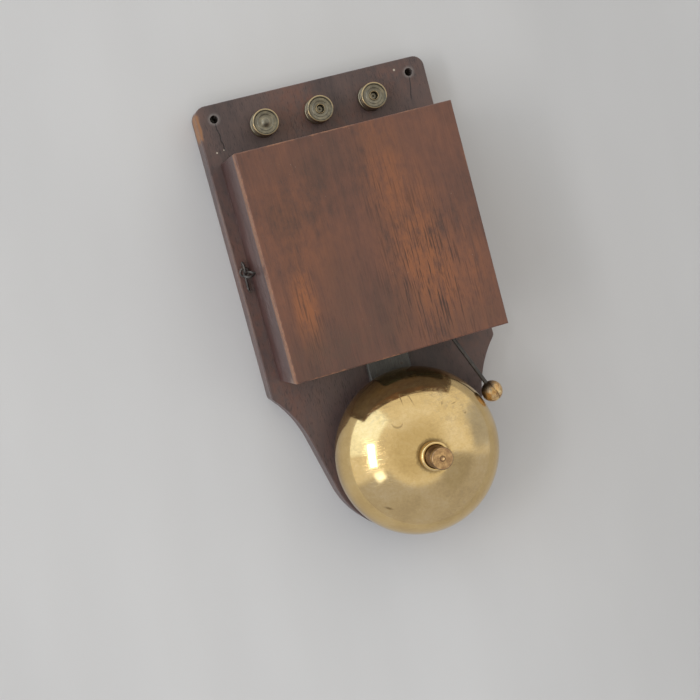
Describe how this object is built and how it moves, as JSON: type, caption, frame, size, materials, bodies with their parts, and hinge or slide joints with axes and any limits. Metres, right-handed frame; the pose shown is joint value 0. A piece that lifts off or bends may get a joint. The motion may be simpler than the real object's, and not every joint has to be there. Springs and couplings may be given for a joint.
{
  "type": "electric bell",
  "caption": "Trembler bell on a shaped wooden backboard, with a domed gong, a side hammer, a lift-off boxed cover over the electromagnet and thumb-nut terminals.",
  "frame": {"origin": "middle of the bell's outline, at the back face of the board", "axes": "+X across to the hammer's side, +Y along the board to the terminals, +Z out of the front, as the bell lies on its back"},
  "size_m": [0.108, 0.2094, 0.0642],
  "materials": {
    "board_wood": "satin",
    "cover_wood": "satin",
    "gong_brass": "polished",
    "turned_brass": "satin",
    "terminal_brass": "satin",
    "ball_copper": "satin",
    "washer_leather": "matte",
    "frame_iron": "satin",
    "core_iron": "satin",
    "spring_steel": "satin",
    "screw_steel": "satin",
    "catch_wire": "satin",
    "bobbin_wood": "satin",
    "winding_cotton": "matte",
    "wire_cotton": "matte",
    "insulator_ebonite": "satin"
  },
  "bodies": {
    "board": {"backboard": "board_wood", "frame_plate": "frame_iron", "frame_screws": "screw_steel", "lead_screw": "turned_brass", "gong_pillar": "turned_brass", "gong_washer": "washer_leather", "gong": "gong_brass", "magnet_yoke": "frame_iron", "yoke_screws": "screw_steel", "core_lower": "core_iron", "core_upper": "core_iron", "core_screws": "screw_steel", "bobbin_lower": "bobbin_wood", "bobbin_upper": "bobbin_wood", "coil_lower": "winding_cotton", "coil_upper": "winding_cotton", "armature_bracket": "turned_brass", "bracket_screw": "screw_steel", "spring_clamp": "turned_brass", "clamp_screws": "screw_steel", "contact_insulator": "insulator_ebonite", "contact_pillar": "turned_brass", "terminal_post_left": "terminal_brass", "terminal_post_middle": "terminal_brass", "terminal_post_right": "terminal_brass", "terminal_washers": "terminal_brass", "terminal_back_nuts": "terminal_brass", "wire_left": "wire_cotton", "wire_middle": "wire_cotton", "wire_right": "wire_cotton", "coil_link": "wire_cotton", "coil_return": "wire_cotton", "catch_board_eyes": "catch_wire"},
    "hammer": {"armature": "core_iron", "armature_spring": "spring_steel", "armature_rivets": "turned_brass", "hammer_rod": "spring_steel", "hammer_ball": "ball_copper"},
    "cover": {"cover_front": "cover_wood", "cover_left": "cover_wood", "cover_right": "cover_wood", "cover_top": "cover_wood", "cover_bottom": "cover_wood", "catch_wall_eyes": "catch_wire"},
    "hook_left": {"catch_hook_left": "catch_wire"},
    "hook_right": {"catch_hook_right": "catch_wire"},
    "gong_nut": {"gong_nut": "gong_brass"},
    "contact_screw": {"contact_screw": "turned_brass"},
    "contact_lock_nut": {"contact_lock_nut": "turned_brass"},
    "thumb_nut_left": {"terminal_nut_left": "terminal_brass"},
    "thumb_nut_middle": {"terminal_nut_middle": "terminal_brass"},
    "thumb_nut_right": {"terminal_nut_right": "terminal_brass"}
  },
  "joints": [
    {"name": "hammer_swing", "type": "hinge", "parent": "board", "child": "hammer", "pos_m": [0.01925, 0.058, 0.0277], "axis": [0, 0, 1], "range_deg": [-0.38, 0], "stiffness_Nm_per_rad": 0.5, "springref_deg": 0.57, "deforming": ["armature_spring"]},
    {"name": "cover_lift", "type": "slide", "parent": "board", "child": "cover", "axis": [0, 0, 1], "range_m": [0, 0.06]},
    {"name": "catch_left_swing", "type": "hinge", "parent": "board", "child": "hook_left", "pos_m": [-0.05125, 0.0317, 0.01595], "axis": [-1, 0, 0], "range_deg": [0, 72.1]},
    {"name": "catch_right_swing", "type": "hinge", "parent": "board", "child": "hook_right", "pos_m": [0.05125, 0.0317, 0.01595], "axis": [-1, 0, 0], "range_deg": [0, 72.1]},
    {"name": "gong_nut_turn", "type": "hinge", "parent": "board", "child": "gong_nut", "pos_m": [0.0014, -0.0669, 0.0525], "axis": [0, 0, 1], "continuous": true},
    {"name": "contact_screw_turn", "type": "hinge", "parent": "board", "child": "contact_screw", "pos_m": [0.0315, 0.026, 0.0277], "axis": [1, 0, 0], "continuous": true},
    {"name": "contact_lock_nut_turn", "type": "hinge", "parent": "board", "child": "contact_lock_nut", "pos_m": [0.0362, 0.026, 0.0277], "axis": [1, 0, 0], "continuous": true},
    {"name": "terminal_left_turn", "type": "hinge", "parent": "board", "child": "thumb_nut_left", "pos_m": [-0.0254, 0.0909, 0.018], "axis": [0, 0, 1], "continuous": true},
    {"name": "terminal_middle_turn", "type": "hinge", "parent": "board", "child": "thumb_nut_middle", "pos_m": [0, 0.0909, 0.018], "axis": [0, 0, 1], "continuous": true},
    {"name": "terminal_right_turn", "type": "hinge", "parent": "board", "child": "thumb_nut_right", "pos_m": [0.0254, 0.0909, 0.018], "axis": [0, 0, 1], "continuous": true}
  ]
}
